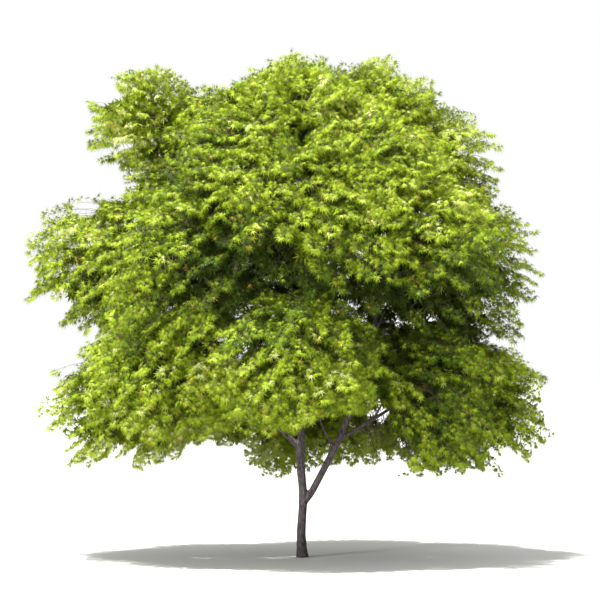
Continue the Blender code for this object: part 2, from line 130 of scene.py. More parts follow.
camera = bpy.data.cameras.new("eye")
eye = Vector((AIM.x, -EYE_DISTANCE, EYE_HEIGHT))
camera.sensor_width = SENSOR
camera.lens = SENSOR * (AIM - eye).length / FRAME_WIDTH
camera.clip_end = 1000
camera_holder = bpy.data.objects.new("eye", camera)
bpy.context.scene.collection.objects.link(camera_holder)
camera_holder.location = eye
camera_holder.rotation_euler = (AIM - eye).to_track_quat("-Z", "Y").to_euler()
bpy.context.scene.camera = camera_holder

# The trunk leans a little and forks low, and its boughs thin out with every mass of leaves that
# they carry. Each limb is laid here as its solid is, from the same sizes and in the same order.
TRUNK_HEIGHT = 1.16
TRUNK_RADIUS = 0.0425
FLARE_RADIUS = 0.065
FLARE_HEIGHT = 0.13
RIDGE_COUNT = 5
RIDGE_DEPTH = 0.10
FORK_SWELLING = 0.003
TRUNK_LEAN = 0.012
TRUNK_SWAY = 0.011
SWAY_LENGTH = 0.80
TRUNK_RINGS = 10
BOUGH_RADIUS = 0.0125
GIRTH_POWER = 0.42
COLLAR = 1.22
BOUGH_STATIONS = (0.0, 0.05, 0.21, 0.4, 0.6, 0.8, 1.0)
BOUGH_KINK = 0.008
FIRST_HANDLE = 0.45
SECOND_HANDLE = 0.22
ENTRY_DEPTH = 0.62
SQUARENESS = 2.15
SPACE_CLEARANCE = 0.012

Tier = namedtuple("Tier", "outward across tall droop rise lift")
TIERS = {
    "low": Tier(0.92, 0.92, 0.72, 11, -4, -0.25),
    "wing": Tier(0.92, 0.88, 0.70, -4, 8, -0.10),
    "mid": Tier(0.92, 0.92, 0.84, 3, 18, 0.05),
    "upper": Tier(0.84, 0.84, 0.74, -8, 60, 0.35),
    "top": Tier(0.70, 0.74, 0.68, 0, 72, 0.90),
    "plume": Tier(0.62, 0.70, 0.60, 14, 72, 0.90),
}
Mass = namedtuple("Mass", "tier bearing reach height parent share")
MASSES = {
    "top_centre": Mass("top", 0, 0.67, 4.38, "trunk", 1.0),
    "mid_left": Mass("wing", 180, 2.91, 2.90, "trunk", 0.94),
    "upper_right": Mass("upper", 4, 2.07, 3.86, "trunk", 0.47),
    "low_right": Mass("low", 2, 2.59, 1.54, "upper_right", 0.22),
    "low_front": Mass("low", 266, 2.46, 1.98, "upper_right", 0.20),
    "low_front_right": Mass("low", 328, 2.28, 1.58, "low_right", 0.45),
    "low_right_back": Mass("low", 38, 2.46, 1.48, "low_right", 0.55),
    "low_back_right": Mass("low", 70, 2.30, 1.59, "top_centre", 0.09),
    "low_back_left": Mass("low", 100, 2.25, 1.47, "mid_left", 0.14),
    "low_left_back": Mass("low", 144, 2.46, 1.74, "mid_left", 0.34),
    "low_left": Mass("low", 184, 2.69, 1.54, "mid_left", 0.46),
    "low_front_left": Mass("low", 216, 2.50, 1.85, "mid_left", 0.28),
    "mid_front_left": Mass("mid", 228, 2.50, 2.90, "mid_left", 0.60),
    "mid_back_left": Mass("mid", 146, 2.48, 2.60, "mid_left", 0.52),
    "mid_back": Mass("mid", 92, 2.45, 2.82, "top_centre", 0.24),
    "mid_front": Mass("mid", 271, 2.40, 3.32, "top_centre", 0.29),
    "mid_right": Mass("mid", 358, 2.46, 2.84, "upper_right", 0.50),
    "mid_back_right": Mass("mid", 40, 2.42, 2.58, "upper_right", 0.58),
    "mid_front_right": Mass("mid", 316, 2.48, 2.98, "upper_right", 0.64),
    "upper_left": Mass("upper", 182, 2.03, 3.40, "top_centre", 0.40),
    "upper_front_left": Mass("upper", 238, 1.92, 3.78, "top_centre", 0.46),
    "upper_front_right": Mass("upper", 302, 1.92, 3.78, "top_centre", 0.52),
    "upper_back_right": Mass("upper", 62, 1.92, 3.76, "top_centre", 0.57),
    "upper_back_left": Mass("upper", 122, 1.92, 3.78, "top_centre", 0.62),
    "top_left_tip": Mass("plume", 178, 2.21, 4.33, "upper_left", 0.55),
    "top_left": Mass("top", 172, 1.39, 4.22, "top_centre", 0.70),
    "top_right": Mass("top", 4, 1.47, 4.36, "top_centre", 0.66),
    "top_front": Mass("top", 268, 1.42, 4.22, "top_centre", 0.76),
    "top_back": Mass("top", 84, 1.45, 4.24, "top_centre", 0.73),
}
Start = namedtuple("Start", "bearing rise")
BOUGH_STARTS = {
    "top_centre": Start(0, 86),
    "mid_left": Start(180, 41),
    "upper_right": Start(0, 52),
    "low_right": Start(0, 33),
    "low_front": Start(188, 55),
}
STOUTER = {"upper_right": 1.18}
BOUGH_NAMES = {"top_centre": "leader", "mid_left": "left_bough", "upper_right": "right_bough"}

Space = namedtuple("Space", "centre axes sizes weight")
Limb = namedtuple("Limb", "points radii")


def direction(bearing, rise):
    """A unit vector at a compass bearing and a rise above level, both in degrees."""
    bearing, rise = math.radians(bearing), math.radians(rise)
    level = math.cos(rise)
    return Vector((level * math.cos(bearing), level * math.sin(bearing), math.sin(rise)))


def mass_space(mass):
    """The rounded shape that a mass of leaves fills, with its outer end drooped."""
    tier = TIERS[mass.tier]
    outward = direction(mass.bearing, -tier.droop)
    across = direction(mass.bearing + 90, 0)
    sizes = (tier.outward, tier.across, tier.tall)
    centre = direction(mass.bearing, 0) * (mass.reach - tier.outward) + UP * mass.height
    return Space(centre, (outward, across, outward.cross(across)), sizes, math.prod(sizes) ** (2 / 3))


SPACES = {name: mass_space(mass) for name, mass in MASSES.items()}


def fullness(space, offset):
    """1 on the surface of a mass's rounded shape, less inside it, for an offset from its centre."""
    parts = [abs(offset.dot(axis) / size) ** SQUARENESS for axis, size in zip(space.axes, space.sizes)]
    return sum(parts) ** (1 / SQUARENESS)


def borders(space):
    """The flat border with each neighbour: the way to it from the centre, and how far it lies."""
    found = []
    for other in SPACES.values():
        if other is not space:
            way = other.centre - space.centre
            middle = (way.length_squared + space.weight - other.weight) / (2 * way.length)
            found.append((way.normalized(), middle - SPACE_CLEARANCE))
    return found


def reach_along(space, heading):
    """How far a mass reaches from its centre along a unit vector, to its edge or its neighbour's."""
    reach = 1 / fullness(space, heading)
    for between, distance in borders(space):
        if heading.dot(between) > 0:
            reach = min(reach, distance / heading.dot(between))
    return reach


def trunk_centre(height):
    """The trunk's axis leans to the left and sways on its way up."""
    turn = 2 * math.pi * height / SWAY_LENGTH
    across = -TRUNK_LEAN * height - TRUNK_SWAY * math.sin(turn)
    return Vector((across, TRUNK_SWAY * (1 - math.cos(turn)) / 2, height))


def trunk_radius(height):
    """The trunk tapers from its root flare and swells a little under the fork."""
    flare = (FLARE_RADIUS - TRUNK_RADIUS) * math.exp(-height / FLARE_HEIGHT)
    fork = FORK_SWELLING * math.exp(-(((height - 0.85 * TRUNK_HEIGHT) / 0.15) ** 2))
    return TRUNK_RADIUS + flare + fork


def carried(name, share=0.0):
    """How many masses a bough carries past this share of its length, with its own."""
    hung = [child for child, mass in MASSES.items() if mass.parent == name and mass.share > share]
    return 1 + sum(carried(child) for child in hung)


def point_along(points, share):
    """The place and the heading at a share of the length of a row of points."""
    steps = [(b - a).length for a, b in zip(points, points[1:])]
    left = share * sum(steps)
    for start, end, step in zip(points, points[1:], steps):
        if left <= step:
            break
        left -= step
    heading = (end - start).normalized()
    return start + heading * min(left, step), heading


def bezier(start, first, second, end, share):
    """A point on the cubic curve with these two ends and two handles."""
    rest = 1 - share
    return start * rest**3 + first * 3 * rest**2 * share + second * 3 * rest * share**2 + end * share**3


def lay_bough(name, parent):
    """One tapering limb, from the axis of the limb it leaves to where it enters its mass."""
    mass, space = MASSES[name], SPACES[name]
    start, along = point_along(parent.points, mass.share)
    way = space.centre - start
    entry = direction(math.degrees(math.atan2(way.y, way.x)), TIERS[mass.tier].rise)
    end = space.centre - entry * reach_along(space, -entry) * ENTRY_DEPTH
    if name in BOUGH_STARTS:
        leaving = direction(*BOUGH_STARTS[name])
    else:
        leaving = (along * 0.45 + (end - start).normalized() + UP * 0.25).normalized()
    first = start + leaving * (end - start).length * FIRST_HANDLE
    second = end - entry * (end - start).length * SECOND_HANDLE
    rng = random.Random(name + " bough")
    points = []
    for share in BOUGH_STATIONS:
        place = bezier(start, first, second, end, share)
        if BOUGH_STATIONS[1] < share < 1:
            place += Vector(rng.uniform(-1, 1) for _ in range(3)) * BOUGH_KINK * (end - start).length
        points.append(place)
    girth = BOUGH_RADIUS * STOUTER.get(name, 1.0)
    radii = [girth * carried(name, share) ** GIRTH_POWER for share in BOUGH_STATIONS]
    radii[-1] = BOUGH_RADIUS
    if mass.share < 1.0:
        radii[0] *= COLLAR
    return Limb(points, radii)


def lay_limbs():
    """The trunk's axis and every bough, parents before what grows from them."""
    heights = [TRUNK_HEIGHT * (ring / TRUNK_RINGS) ** 1.4 for ring in range(TRUNK_RINGS + 1)]
    limbs = {"trunk": Limb([trunk_centre(h) for h in heights], [trunk_radius(h) for h in heights])}
    for name, mass in MASSES.items():
        limbs[name] = lay_bough(name, limbs[mass.parent])
    return limbs


LIMBS = lay_limbs()
WOOD = np.array(
    [
        (*a, *b, radius)
        for limb in LIMBS.values()
        for a, b, radius in zip(limb.points, limb.points[1:], limb.radii)
    ]
)

# Bark on a young maple is thin, grey with a purple cast, and finely cracked along the limb. It
# runs unbroken over every fork, so trunk and boughs are skinned as one piece of wood.
BARK_SIDES = 20
BARK_VOXEL = 0.0075
BARK_CRACK_DEPTH = 0.0011
BARK_LUMP_DEPTH = 0.0022
BARK_DARK = (0.032, 0.026, 0.029)
BARK_MIDDLE = (0.130, 0.104, 0.113)
BARK_LIGHT = (0.300, 0.262, 0.270)
# The bark is darker towards the ground, its colour multiplied by a grey at the foot that fades out at this
# height.
BASE_DARKENING_HEIGHT = 0.95
BASE_DARKENING = (0.30, 0.29, 0.28)


def node(tree, kind, **settings):
    """A node in a tree, with properties and input values set by name."""
    made = tree.nodes.new(kind)
    for key, value in settings.items():
        if key in made.inputs.keys():
            made.inputs[key].default_value = value
        else:
            setattr(made, key, value)
    return made


def new_tree(name, inputs):
    """A Geometry Nodes tree with a geometry in and out and the named inputs given."""
    tree = bpy.data.node_groups.new(name, "GeometryNodeTree")
    tree.interface.new_socket("Geometry", in_out="INPUT", socket_type="NodeSocketGeometry")
    tree.interface.new_socket("Geometry", in_out="OUTPUT", socket_type="NodeSocketGeometry")
    for title, kind in inputs.items():
        tree.interface.new_socket(title, in_out="INPUT", socket_type=kind)
    return tree, tree.nodes.new("NodeGroupInput"), tree.nodes.new("NodeGroupOutput")


def tube_tree():
    """Tapering tubes along chains of edges, from the radius kept at each point."""
    tree, given, out = new_tree(
        "tubes_along",
        {
            "Sides": "NodeSocketInt",
            "Steps": "NodeSocketInt",
            "Caps": "NodeSocketBool",
            "Flat Below": "NodeSocketFloat",
            "Bark": "NodeSocketMaterial",
        },
    )
    curve = node(tree, "GeometryNodeMeshToCurve")
    smooth = node(tree, "GeometryNodeCurveSplineType", spline_type="CATMULL_ROM")
    steps = node(tree, "GeometryNodeSetSplineResolution")
    thick = node(tree, "GeometryNodeInputNamedAttribute", data_type="FLOAT", Name="thickness")
    girth = node(tree, "GeometryNodeSetCurveRadius")
    ring = node(tree, "GeometryNodeCurvePrimitiveCircle", Radius=1.0)
    sweep = node(tree, "GeometryNodeCurveToMesh")
    thin = node(tree, "FunctionNodeCompare", data_type="FLOAT", operation="LESS_THAN")
    split = node(tree, "GeometryNodeSeparateGeometry", domain="CURVE")
    width = node(tree, "GeometryNodeCurvePrimitiveLine", Start=(-1, 0, 0), End=(1, 0, 0))
    ribbon = node(tree, "GeometryNodeCurveToMesh")
    both = node(tree, "GeometryNodeJoinGeometry")
    colour = node(tree, "GeometryNodeSetMaterial")
    link = tree.links.new
    link(given.outputs["Geometry"], curve.inputs["Mesh"])
    link(curve.outputs["Curve"], smooth.inputs["Curve"])
    link(smooth.outputs["Curve"], steps.inputs["Geometry"])
    link(given.outputs["Steps"], steps.inputs["Resolution"])
    link(steps.outputs["Geometry"], girth.inputs["Curve"])
    link(thick.outputs["Attribute"], girth.inputs["Radius"])
    link(thick.outputs["Attribute"], thin.inputs["A"])
    link(given.outputs["Flat Below"], thin.inputs["B"])
    link(girth.outputs["Curve"], split.inputs["Geometry"])
    link(thin.outputs["Result"], split.inputs["Selection"])
    link(split.outputs["Inverted"], sweep.inputs["Curve"])
    link(split.outputs["Selection"], ribbon.inputs["Curve"])
    link(width.outputs["Curve"], ribbon.inputs["Profile Curve"])
    link(given.outputs["Sides"], ring.inputs["Resolution"])
    link(ring.outputs["Curve"], sweep.inputs["Profile Curve"])
    link(given.outputs["Caps"], sweep.inputs["Fill Caps"])
    for swept in (sweep, ribbon):
        link(thick.outputs["Attribute"], swept.inputs["Scale"])
        link(swept.outputs["Mesh"], both.inputs["Geometry"])
    link(both.outputs["Geometry"], colour.inputs["Geometry"])
    link(given.outputs["Bark"], colour.inputs["Material"])
    link(colour.outputs["Geometry"], out.inputs["Geometry"])
    return tree


def give_nodes(piece, tree, values):
    """Puts a tree on a piece and sets its named inputs by their sockets' identifiers."""
    modifier = piece.modifiers.new(tree.name, "NODES")
    modifier.node_group = tree
    sockets = {item.name: item.identifier for item in tree.interface.items_tree if item.in_out == "INPUT"}
    for title, value in values.items():
        modifier[sockets[title]] = value
    return modifier


def settle(piece, name):
    """Replaces a piece that has live modifiers by a plain mesh of what they make."""
    graph = bpy.context.evaluated_depsgraph_get()
    mesh = bpy.data.meshes.new_from_object(piece.evaluated_get(graph))
    old = piece.data
    bpy.data.objects.remove(piece)
    bpy.data.meshes.remove(old)
    mesh.name = name
    return add_object(name, mesh)


def chain_mesh(chains):
    """Rows of points joined by edges, with the limb's thickness kept at each point."""
    places, edges, thickness = [], [], []
    for points, radii in chains:
        first = len(places)
        places.extend(points)
        thickness.extend(radii)
        edges.extend((first + step, first + step + 1) for step in range(len(points) - 1))
    mesh = bpy.data.meshes.new("chains")
    mesh.from_pydata(places, edges, [])
    kept = mesh.attributes.new("thickness", "FLOAT", "POINT")
    kept.data.foreach_set("value", np.array(thickness, np.float32))
    return mesh


def bark_material():
    """Grey-purple bark: fine cracks along the grain, pale flecks, darker weathered patches, and darker
    towards the ground.
    """
    made = bpy.data.materials.new("maple_bark")
    made.use_nodes = True
    tree = made.node_tree
    shader = tree.nodes["Principled BSDF"]
    shader.inputs["Roughness"].default_value = 0.82
    shader.inputs["Specular IOR Level"].default_value = 0.25
    place = node(tree, "ShaderNodeTexCoord")
    stretch = node(tree, "ShaderNodeMapping", Scale=(1.0, 1.0, 0.22))
    cracks = node(tree, "ShaderNodeTexNoise", Scale=95.0, Detail=6.0, Roughness=0.65)
    patches = node(tree, "ShaderNodeTexNoise", Scale=9.0, Detail=3.0)
    flecks = node(tree, "ShaderNodeTexVoronoi", Scale=60.0)
    grain = node(tree, "ShaderNodeValToRGB")
    ramp = grain.color_ramp
    ramp.elements[0].position, ramp.elements[0].color = 0.36, (*BARK_DARK, 1)
    ramp.elements[1].position, ramp.elements[1].color = 0.68, (*BARK_LIGHT, 1)
    ramp.elements.new(0.5).color = (*BARK_MIDDLE, 1)
    shade = node(tree, "ShaderNodeMixRGB", blend_type="MULTIPLY", Fac=0.55)
    fleck = node(tree, "ShaderNodeMixRGB", blend_type="SCREEN", Color2=(*BARK_LIGHT, 1))
    spot = node(tree, "ShaderNodeMapRange")
    spot.inputs["From Min"].default_value = 0.16
    spot.inputs["From Max"].default_value = 0.05
    spot.inputs["To Max"].default_value = 0.5
    height = node(tree, "ShaderNodeSeparateXYZ")
    rise = node(tree, "ShaderNodeMapRange")
    rise.inputs["From Max"].default_value = BASE_DARKENING_HEIGHT
    # Darker towards the ground, fading out up the trunk.
    base_darkening_mix = node(tree, "ShaderNodeMixRGB", Color1=(*BASE_DARKENING, 1), Color2=(1, 1, 1, 1))
    whole = node(tree, "ShaderNodeMixRGB", blend_type="MULTIPLY", Fac=1.0)
    bump = node(tree, "ShaderNodeBump", Strength=0.6, Distance=0.004)
    link = tree.links.new
    link(place.outputs["Object"], stretch.inputs["Vector"])
    link(stretch.outputs["Vector"], cracks.inputs["Vector"])
    link(place.outputs["Object"], patches.inputs["Vector"])
    link(stretch.outputs["Vector"], flecks.inputs["Vector"])
    link(cracks.outputs["Fac"], grain.inputs["Fac"])
    link(grain.outputs["Color"], shade.inputs["Color1"])
    link(patches.outputs["Fac"], shade.inputs["Color2"])
    link(shade.outputs["Color"], fleck.inputs["Color1"])
    link(flecks.outputs["Distance"], spot.inputs["Value"])
    link(spot.outputs["Result"], fleck.inputs["Fac"])
    link(place.outputs["Object"], height.inputs["Vector"])
    link(height.outputs["Z"], rise.inputs["Value"])
    link(rise.outputs["Result"], base_darkening_mix.inputs["Fac"])
    link(fleck.outputs["Color"], whole.inputs["Color1"])
    link(base_darkening_mix.outputs["Color"], whole.inputs["Color2"])
    link(whole.outputs["Color"], shader.inputs["Base Color"])
    link(cracks.outputs["Fac"], bump.inputs["Height"])
    link(bump.outputs["Normal"], shader.inputs["Normal"])
    return made


def limb_chain(name):
    """A limb's points and radii for its skin, which starts inside the limb that it leaves."""
    limb = LIMBS[name]
    if name == "trunk":
        return list(limb.points), list(limb.radii)
    radii = list(limb.radii)
    radii[0] = min(radii[0], LIMBS[MASSES[name].parent].radii[-1] * 1.5)
    return list(limb.points), radii


bark = bark_material()
tubes = tube_tree()
wood = add_object("wood_core", chain_mesh([limb_chain(name) for name in LIMBS]))
give_nodes(wood, tubes, {"Sides": BARK_SIDES, "Steps": 6, "Caps": True, "Flat Below": 0.0, "Bark": bark})
wood = settle(wood, "wood_skin")
skin = wood.modifiers.new("skin", "REMESH")
skin.mode = "VOXEL"
skin.voxel_size = BARK_VOXEL
skin.use_smooth_shade = True
even = wood.modifiers.new("even", "SMOOTH")
even.factor = 0.5
even.iterations = 3
wood = settle(wood, "bark")


def roughen(mesh):
    """Moves the skin in and out: lumps over a hand's width, and cracks that run up the limb."""
    count = len(mesh.vertices)
    places = np.empty(count * 3, np.float32)
    normals = np.empty(count * 3, np.float32)
    mesh.vertices.foreach_get("co", places)
    mesh.vertex_normals.foreach_get("vector", normals)
    places, normals = places.reshape(-1, 3), normals.reshape(-1, 3)
    for index in range(count):
        x, y, z = places[index]
        lump = noise.noise(Vector((x * 18, y * 18, z * 9)))
        crack = abs(noise.noise(Vector((x * 75, y * 75, z * 14))))
        flare = 1 + 2.5 * math.exp(-z / FLARE_HEIGHT)
        out = lump * BARK_LUMP_DEPTH * min(flare, 2) - max(0, 0.18 - crack) / 0.18 * BARK_CRACK_DEPTH
        places[index] += normals[index] * out
    places[:, 2] = np.maximum(places[:, 2], 0)
    mesh.vertices.foreach_set("co", places.ravel())
    mesh.update()


roughen(wood.data)
wood.data.materials.clear()
wood.data.materials.append(bark)
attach(wood, "root")
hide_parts("trunk", *(BOUGH_NAMES.get(name, name + "_bough") for name in MASSES))

# A mass of leaves is a stem that goes on from its bough, a few main twigs that share the space
# out, and leafy sprays that reach its edge. They are laid by the rule of the solids, which is
# carried on here: each spray branches off the nearest twig or spray, and bears opposite shoots.
MAIN_TWIGS = 3
STEM_LENGTH = 0.16
MAIN_REACH = 0.52
MAIN_RADIUS = 0.0085
MAIN_TIP_RADIUS = 0.0045
TWIG_BEND = 0.14
JOINT_SHARES = (0.28, 0.42, 0.62, 0.78, 0.95)
DETOUR_COST = 0.30
TURN_COST = 0.40
CROWD_COST = 0.14
GOLDEN_ANGLE = math.pi * (3 - math.sqrt(5))
GAP = 0.0003
SHELL_SPRAYS = 150
INNER_SPRAYS = 76
RAGGEDNESS = 0.30
UNDERSIDE = -0.20
UNDERSIDE_RAGGEDNESS = 0.16
UNDERSIDE_FACING = 0.35
HANG = (0.10, 1.0)
UNDERSIDE_HANG = (0.5, 1.8)
TIP_OVERHANG = -0.035
LEAF_OVERHANG = 0.0
CROWN_CENTRE = Vector((-0.10, 0.0, 2.85))
CROWN_SIZES = (2.62, 2.42, 2.15)
CROWN_SKIN = 0.72
CREASE_FILL = 0.62
SIDE_CREASE = 0.6
HOLLOW = -0.42
FACING_OUT = (0.8, 2.4)
FACING_SPREAD = 0.9
SIDE_SWEEP = 2.0
SWEEP = 1.1
SWEEP_DROOP = 0.45
SWEEP_PIVOT = 0.6
SIDE_FACING = 0.45
# These set the painted light and shade in the leaf tints: brighter on top of a mass, on its outer shell and
# towards a spray's tip, darker on inner sprays, with a random spread by spray, shoot and leaf pair.
HEADING_LIGHT = 0.12
INNER_LIGHT = -0.45
SHELL_LIGHT = 0.2
SPRAY_VARIATION = 0.08
LEAF_TILT = 0.9
SPRAY_LENGTH = 0.50
SPRAY_RADIUS = 0.0030
SHOOT_RADIUS = 0.0017
SHOOT_SPACING = 0.054
SHOOT_ANGLE = 50
SHOOT_SHARE = 0.32
LEAF_SPACING = 0.050
SPRAY_SAG = 0.10
INNER_SPACING = 1.9
SHOOT_VARIATION = 0.30
PAIR_VARIATION = 0.38
TIP_LIGHT = 0.3

# Where one tier shades the next the sprays are darker, and where the crown is thin they are
# brighter. Each pocket runs through the crown, at its place and half-widths across and up.
Pocket = namedtuple("Pocket", "across up width height light")
POCKETS = (
    Pocket(-0.80, 2.78, 0.50, 0.48, -0.95),
    Pocket(0.10, 2.54, 0.75, 0.26, -0.85),
    Pocket(1.25, 2.30, 0.62, 0.60, -0.85),
    Pocket(1.50, 1.50, 0.45, 0.50, -0.70),
    Pocket(-0.35, 2.15, 0.45, 0.14, -0.50),
    Pocket(-1.65, 2.12, 0.22, 0.20, -1.20),
    Pocket(-1.68, 3.02, 0.22, 0.18, -0.55),
    Pocket(-1.25, 3.62, 0.28, 0.18, -0.85),
    Pocket(-0.80, 4.15, 0.30, 0.28, -0.30),
    Pocket(0.42, 3.02, 0.15, 0.15, -0.85),
    Pocket(-0.45, 3.02, 0.15, 0.15, -0.40),
    Pocket(-1.30, 3.95, 0.24, 0.34, -0.60),
    Pocket(-0.80, 4.45, 0.40, 0.30, -0.25),
    Pocket(-0.25, 4.00, 0.10, 0.55, -0.45),
    Pocket(0.45, 3.92, 0.95, 0.22, -0.35),
    Pocket(1.90, 2.88, 0.35, 0.36, -0.75),
    Pocket(-1.72, 4.25, 0.25, 0.32, 1.10),
    Pocket(-1.38, 4.56, 0.20, 0.16, 0.70),
    Pocket(-0.85, 1.85, 0.38, 0.16, 0.50),
    Pocket(0.45, 1.80, 0.20, 0.16, 0.40),
    Pocket(1.02, 1.50, 0.20, 0.20, 0.60),
    Pocket(-2.30, 2.85, 0.50, 0.45, 0.30),
    Pocket(-1.45, 1.02, 0.75, 0.24, 0.80),
    Pocket(-0.45, 0.95, 0.30, 0.20, 0.80),
    Pocket(0.75, 1.02, 0.40, 0.20, 0.70),
    Pocket(1.75, 4.05, 0.30, 0.60, 0.35),
)

# The crown is open in a few places, seen from the front: where light shows right through it, and
# under its front, where the boughs leave the trunk. Each opening's place and half-widths.
Opening = namedtuple("Opening", "across up width height")
GAPS = (
    Opening(0.77, 1.45, 0.12, 0.12),
    Opening(1.00, 1.17, 0.06, 0.05),
    Opening(0.67, 4.70, 0.05, 0.05),
    Opening(-2.08, 2.30, 0.05, 0.06),
    Opening(-1.44, 4.55, 0.04, 0.07),
    Opening(-1.98, 4.66, 0.14, 0.15),
    Opening(-2.16, 3.50, 0.13, 0.09),
    Opening(-2.60, 2.46, 0.14, 0.12),
    Opening(-2.36, 1.98, 0.15, 0.13),
    Opening(-1.90, 0.92, 0.22, 0.08),
    Opening(-0.72, 1.02, 0.16, 0.12),
    Opening(0.92, 0.92, 0.14, 0.07),
    Opening(2.46, 1.62, 0.08, 0.14),
    Opening(2.10, 0.94, 0.12, 0.12),
    Opening(-0.78, 4.82, 0.22, 0.07),
    Opening(-1.92, 3.80, 0.14, 0.18),
    Opening(-2.74, 3.36, 0.14, 0.12),
    Opening(1.12, 4.86, 0.16, 0.08),
    Opening(-2.52, 1.12, 0.15, 0.14),
)
FRONT_ARCH = Opening(0.50, 1.10, 0.62, 0.36)


def in_opening(opening, x, y, z):
    """Whether a place lies in an opening, as the eye sees it against the trunk's own plane."""
    nearness = EYE_DISTANCE / (EYE_DISTANCE + y)
    across = AIM.x + (x - AIM.x) * nearness - opening.across
    up = EYE_HEIGHT + (z - EYE_HEIGHT) * nearness - opening.up
    return (across / opening.width) ** 2 + (up / opening.height) ** 2 < 1


Joint = namedtuple("Joint", "place heading travel")
Spray = namedtuple("Spray", "root tip axis facing light inner cover hang")


def even_headings(space, count, turn):
    """Unit vectors spread evenly round a mass."""
    for index in range(count):
        height = 1 - (2 * index + 1) / count
        angle = GOLDEN_ANGLE * index + turn
        level = math.sqrt(1 - height**2)
        parts = (level * math.cos(angle), level * math.sin(angle), height)
        yield sum((axis * part for axis, part in zip(space.axes, parts)), Vector())


def best_joint(joints, uses, tip):
    """The joint that a twig to this tip leaves: close by, early on, in line and not yet taken."""

    def cost(index):
        joint = joints[index]
        way = tip - joint.place
        turn = 1 - joint.heading.dot(way.normalized())
        return way.length * (1 + TURN_COST * turn) + DETOUR_COST * joint.travel + CROWD_COST * uses[index]

    return min(range(len(joints)), key=cost)


def pocket_light(place):
    """How much darker or brighter than the rest of the crown a place is."""
    return sum(
        pocket.light
        * math.exp(-(((place.x - pocket.across) / pocket.width) ** 2))
        * math.exp(-(((place.z - pocket.up) / pocket.height) ** 2))
        for pocket in POCKETS
    )


def lay_sprays(name):
    """A mass's woody twigs, and its leafy sprays with the joint that each leaves."""
    space, limb, tier = SPACES[name], LIMBS[name], TIERS[MASSES[name].tier]
    rng = random.Random(name)
    heading = (limb.points[-1] - limb.points[-2]).normalized()
    base = limb.points[-1] + heading * GAP
    fork = base + heading * STEM_LENGTH
    chains = [([base - heading * 0.05, base, fork], [BOUGH_RADIUS * 0.9, BOUGH_RADIUS * 0.95, MAIN_RADIUS])]
    joints = [Joint(fork, heading, STEM_LENGTH)]
    for heading in even_headings(space, MAIN_TWIGS, rng.uniform(0, 2 * math.pi)):
        source = joints[best_joint(joints, [0] * len(joints), space.centre + heading)]
        tip = space.centre + heading * reach_along(space, heading) * MAIN_REACH
        way = tip - source.place
        bend = source.place + way / 2 + source.heading * way.length * TWIG_BEND
        points = [source.place, bend, tip]
        chains.append((points, [MAIN_RADIUS, MAIN_RADIUS * 0.8, MAIN_TIP_RADIUS]))
        for share in JOINT_SHARES:
            place, along = point_along(points, share)
            joints.append(Joint(place, along, source.travel + (tip - source.place).length * share))
    uses = [0] * len(joints)
    sprays = []
    for count, nearest, furthest, inner in (
        (SHELL_SPRAYS, 0.86, 1.0, False),
        (INNER_SPRAYS, 0.45, 0.95, True),
    ):
        for heading in even_headings(space, count, rng.uniform(0, 2 * math.pi)):
            edge = reach_along(space, heading)
            free = edge * fullness(space, heading) > 0.97
            under = free and heading.z < UNDERSIDE
            cover, shaded = Vector(), inner
            if not free and not inner:
                place = space.centre + heading * edge
                offset = place - CROWN_CENTRE
                skin = math.hypot(*(part / size for part, size in zip(offset, CROWN_SIZES)))
                if skin < CROWN_SKIN:
                    continue
                shaded = pocket_light(place) < HOLLOW
                side = abs(offset.x) / math.hypot(offset.x, offset.y)
                if not shaded:
                    cover = offset * (1 / skin - 1) * CREASE_FILL * (1 - SIDE_CREASE * side**4)
            if free and heading.z < -0.42 and tier.lift > 0 and rng.random() < 0.75:
                continue
            if inner and free:
                edge *= 0.65
            share = rng.uniform(nearest, furthest)
            if free and not inner:
                share = 1 - (UNDERSIDE_RAGGEDNESS if under else RAGGEDNESS) * rng.random() ** 1.5
                edge += TIP_OVERHANG
            tip = space.centre + heading * edge * share + cover
            if any(in_opening(gap, *tip) for gap in GAPS):
                continue
            index = best_joint(joints, uses, space.centre + heading * edge * 0.6)
            uses[index] += 1
            root = joints[index].place
            aim = (tip - root).normalized()
            away = tip - space.centre * SWEEP_PIVOT
            sweep = Vector((away.x * SIDE_SWEEP, away.y, 0)).normalized() * SWEEP
            sweep -= UP * SWEEP_DROOP * (1 - tier.lift)
            axis = (aim * 0.55 + heading * 0.35 + UP * (tier.lift - 0.15) * 0.35 + sweep).normalized()
            outward = Vector((tip.x * SIDE_FACING, tip.y + rng.uniform(-1, 1) * FACING_SPREAD, 0))
            facing = UP * (UNDERSIDE_FACING if under else 1) + outward.normalized() * rng.uniform(*FACING_OUT)
            facing = (facing - axis * facing.dot(axis)).normalized()
            roll = rng.choice((-1, 1)) * math.radians(rng.uniform(5, 38))
            facing = Matrix.Rotation(roll, 3, axis) @ facing
            # A spray's painted light: brighter on top and on the shell, darker inside and in the shade
            # pockets.
            light = HEADING_LIGHT * heading.z + (INNER_LIGHT if shaded else SHELL_LIGHT)
            light += rng.gauss(0, SPRAY_VARIATION) + pocket_light(tip)
            hang = UNDERSIDE_HANG if under else HANG
            sprays.append(Spray(root, tip, axis, facing, light, inner, cover.length > 0, hang))
            neck = tip - axis * min(SPRAY_LENGTH, (tip - root).length * 0.75)
            for share in (0.45, 0.9):
                travel = joints[index].travel + (neck - root).length * share
                joints.append(Joint(root.lerp(neck, share), (neck - root).normalized(), travel))
                uses.append(0)
    return chains, sprays


